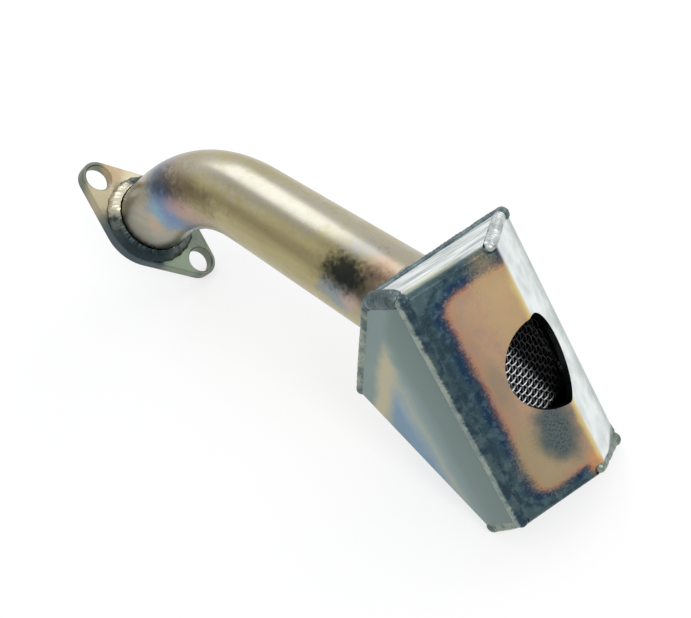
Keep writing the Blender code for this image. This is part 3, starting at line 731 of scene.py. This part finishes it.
def screen_tree():
    """Two sets of wavy wires, each over and under the other in turn."""
    tree, sheet, given = new_tree("wire_cloth", [
        ("Width", "Float"), ("Height", "Float"), ("Pitch", "Float"), ("Wire", "Float"),
        ("Weft", "Material"), ("Warp", "Material")])
    sizes = (given["Width"], given["Height"])
    pitch = given["Pitch"]
    half = [size * -0.5 for size in sizes]
    sets = []
    for along, side, turn, metal in ((0, 1, 1.0, "Weft"), (1, 0, -1.0, "Warp")):
        begin = sheet.add("ShaderNodeCombineXYZ", None, {along: half[along], side: half[side] + pitch * 0.5})
        finish = sheet.add("ShaderNodeCombineXYZ", None, {along: sizes[along]})
        step = sheet.add("ShaderNodeCombineXYZ", None, {side: pitch})
        wire = sheet.add("GeometryNodeCurvePrimitiveLine", None, {"End": finish})
        wire = sheet.add("GeometryNodeResampleCurve", None,
                         {"Curve": wire, "Count": sizes[along].math("DIVIDE", pitch) * 8.0})
        row = sheet.add("GeometryNodeMeshLine", None, {
            "Count": sizes[side].math("DIVIDE", pitch), "Start Location": begin, "Offset": step})
        wires = sheet.add("GeometryNodeInstanceOnPoints", None, {"Points": row, "Instance": wire})
        wires = sheet.add("GeometryNodeRealizeInstances", None, {0: wires})
        place = sheet.split(sheet.add("GeometryNodeInputPosition"))
        run = (place[along] - half[along]).math("DIVIDE", pitch)
        rank = (place[side] - half[side]).math("DIVIDE", pitch).math("FLOOR")
        wave = ((run + rank - 0.5) * math.pi).math("COSINE") * given["Wire"] * (0.5 * turn)
        lift = sheet.add("ShaderNodeCombineXYZ", None, {2: wave})
        waved = sheet.add("GeometryNodeSetPosition", None, {"Geometry": wires, "Offset": lift})
        round_wire = sheet.add("GeometryNodeCurvePrimitiveCircle", None,
                               {"Resolution": 6, "Radius": given["Wire"] * 0.5})
        solid = sheet.add("GeometryNodeCurveToMesh", None,
                          {"Curve": waved, "Profile Curve": round_wire, "Fill Caps": True})
        sets.append(sheet.add("GeometryNodeSetMaterial", None, {"Geometry": solid, "Material": given[metal]}))
    close_tree(sheet, joined(sheet, *sets), None)
    return tree


def wire_metal(name, bright):
    """Wire painted bright near the inlet and painted nearly black as shade further in."""
    material, sheet, place = box_steel(name)
    x, y, _ = sheet.split(place)
    fine = sheet.grain(place, 1.5, 3.0)
    # Painted shade: further from the inlet the wire's colour goes nearly black.
    deep = (x + y * 0.28 + (fine - 0.5) * 2.0).rise(5.5, 10.0)
    colour = sheet.mix(deep, bright, tone(22, 23, 26))
    finish_steel(sheet, colour, 0.30 + 0.20 * deep, fine, 0.01 * MM, metallic=0.35)
    return material


screen_points = (node_points("mesh_screen") - np.array(panel_centre)) @ np.array(panel_turn)
low, high = screen_points.min(axis=0), screen_points.max(axis=0)
screen_middle = panel_turn @ Vector((low + high) / 2.0) + panel_centre
screen_across = panel_turn @ Vector((high[0] - low[0], 0.0, low[2] - high[2])).normalized()
screen_up = panel_turn.col[1].copy()
screen_out = screen_across.cross(screen_up)
screen = made_by(screen_tree(), "wire_screen", {
    "Width": math.hypot(high[0] - low[0], high[2] - low[2]) - SCREEN_PITCH,
    "Height": float(high[1] - low[1]), "Pitch": SCREEN_PITCH, "Wire": SCREEN_WIRE,
    # The weft is painted near white as a highlight on its lit crowns, and the warp grey as the shaded wires.
    "Weft": wire_metal("weft_wire_metal", tone(250, 251, 252)),
    "Warp": wire_metal("warp_wire_metal", tone(112, 116, 122))})
screen_turn = Matrix((screen_across, screen_up, screen_out)).transposed().to_4x4()
screen.data.transform(Matrix.Translation(screen_middle) @ screen_turn)
seat(screen, None, "screen_wire", "mesh_screen")
for name in sorted(frame["nodes"]):
    if name.startswith("screen_tack"):
        for slot in frame["nodes"][name].material_slots:
            slot.material = seam_metal

# The part lies on a plain white studio floor in a wide white tent, which the steel mirrors, with a soft
# light behind the tube, one beside it and a small one in front, whose light falls through the inlet.
FLOOR_REACH = 3.0


def studio_floor():
    """A white floor that takes the part's shadow, and looks white to the camera and in the steel."""
    mesh = bpy.data.meshes.new("studio_floor")
    corners = [(x * FLOOR_REACH, y * FLOOR_REACH, 0.0) for x, y in ((-1, -1), (1, -1), (1, 1), (-1, 1))]
    mesh.from_pydata(corners, [], [(0, 1, 2, 3)])
    floor = bpy.data.objects.new("studio_floor", mesh)
    bpy.context.scene.collection.objects.link(floor)
    material = bpy.data.materials.new("studio_white")
    sheet = empty_sheet(material)
    card = sheet.add("ShaderNodeBsdfDiffuse", None, {"Color": (0.90, 0.90, 0.90, 1.0)})
    glow = sheet.add("ShaderNodeEmission", None, {"Color": (1.0, 1.0, 1.0, 1.0), "Strength": 1.1})
    shown = sheet.add("ShaderNodeMixShader", None, {0: 0.6, 1: card, 2: glow})
    rays = sheet.add("ShaderNodeLightPath").socket.node.outputs
    seen = Signal(rays["Is Camera Ray"]).math("MAXIMUM", Signal(rays["Is Glossy Ray"]))
    whole = sheet.add("ShaderNodeMixShader", None, {0: seen, 1: card, 2: shown})
    sheet.add("ShaderNodeOutputMaterial", None, {"Surface": whole})
    mesh.materials.append(material)


def tent():
    """White all round to the camera; to the steel, white above and grey where the photographer stands."""
    world = bpy.data.worlds.new("white_tent")
    bpy.context.scene.world = world
    sheet = empty_sheet(world)
    way = sheet.add("ShaderNodeTexCoord", output="Generated")
    shade = 0.95
    for centre, near, far, amount in (((0.95, -0.20, 0.25), 0.55, 0.97, 0.35),
                                      ((-0.72, -0.64, 0.14), 0.90, 0.99, 0.42),
                                      ((-0.69, -0.05, 0.72), 0.95, 0.995, 0.35)):
        toward = sheet.vector("DOT_PRODUCT", way, Vector(centre).normalized())
        shade = (1.0 - toward.rise(near, far) * amount) * shade
    rays = sheet.add("ShaderNodeLightPath").socket.node.outputs
    glossy, seen = Signal(rays["Is Glossy Ray"]), Signal(rays["Is Camera Ray"])
    strength = glossy * shade + (1.0 - glossy) * (seen * 0.25 + 0.75)
    back = sheet.add("ShaderNodeBackground", None, {"Color": (1.0, 1.0, 1.0, 1.0), "Strength": strength})
    sheet.add("ShaderNodeOutputWorld", None, {"Surface": back})


def soft_light(name, offset, width, height, power, colour):
    """A flat light panel, set off from the middle of the part and turned towards it."""
    lamp = bpy.data.lights.new(name, "AREA")
    lamp.shape = "RECTANGLE"
    lamp.size = width
    lamp.size_y = height
    lamp.energy = power
    lamp.color = colour
    item = bpy.data.objects.new(name, lamp)
    item.location = (cad_box[0] + cad_box[1]) / 2.0 + Vector(offset)
    item.rotation_euler = (-Vector(offset)).to_track_quat("-Z", "Y").to_euler()
    bpy.context.scene.collection.objects.link(item)


studio_floor()
tent()
soft_light("tent_roof", (-0.53, 0.27, 0.53), 0.42, 0.40, 1.05, (0.82, 0.88, 1.0))
soft_light("tent_side", (0.10, 0.70, 0.35), 0.60, 0.30, 1.0, (1.0, 1.0, 1.0))
soft_light("tent_front", (0.52, -0.10, 0.42), 0.22, 0.22, 1.1, (1.0, 1.0, 1.0))

# The camera stands where the photograph was taken: its place, what it looks at and how it was tipped.
CAMERA_PLACE = Vector((0.1703, -0.1134, 0.2226))
CAMERA_AIM = Vector((0.0192, -0.0077, 0.0350))
CAMERA_ROLL = math.radians(-17.7)
lens = bpy.data.cameras.new("photo_camera")
lens.sensor_width = 36.0
lens.lens = 47.98
lens.clip_start = 0.01
camera = bpy.data.objects.new("photo_camera", lens)
facing = (CAMERA_AIM - CAMERA_PLACE).to_track_quat("-Z", "Y").to_matrix()
tipped = facing @ Matrix.Rotation(CAMERA_ROLL, 3, "Z")
camera.matrix_world = Matrix.Translation(CAMERA_PLACE) @ tipped.to_4x4()
bpy.context.scene.collection.objects.link(camera)
bpy.context.scene.camera = camera
bpy.context.scene.view_settings.view_transform = "Standard"
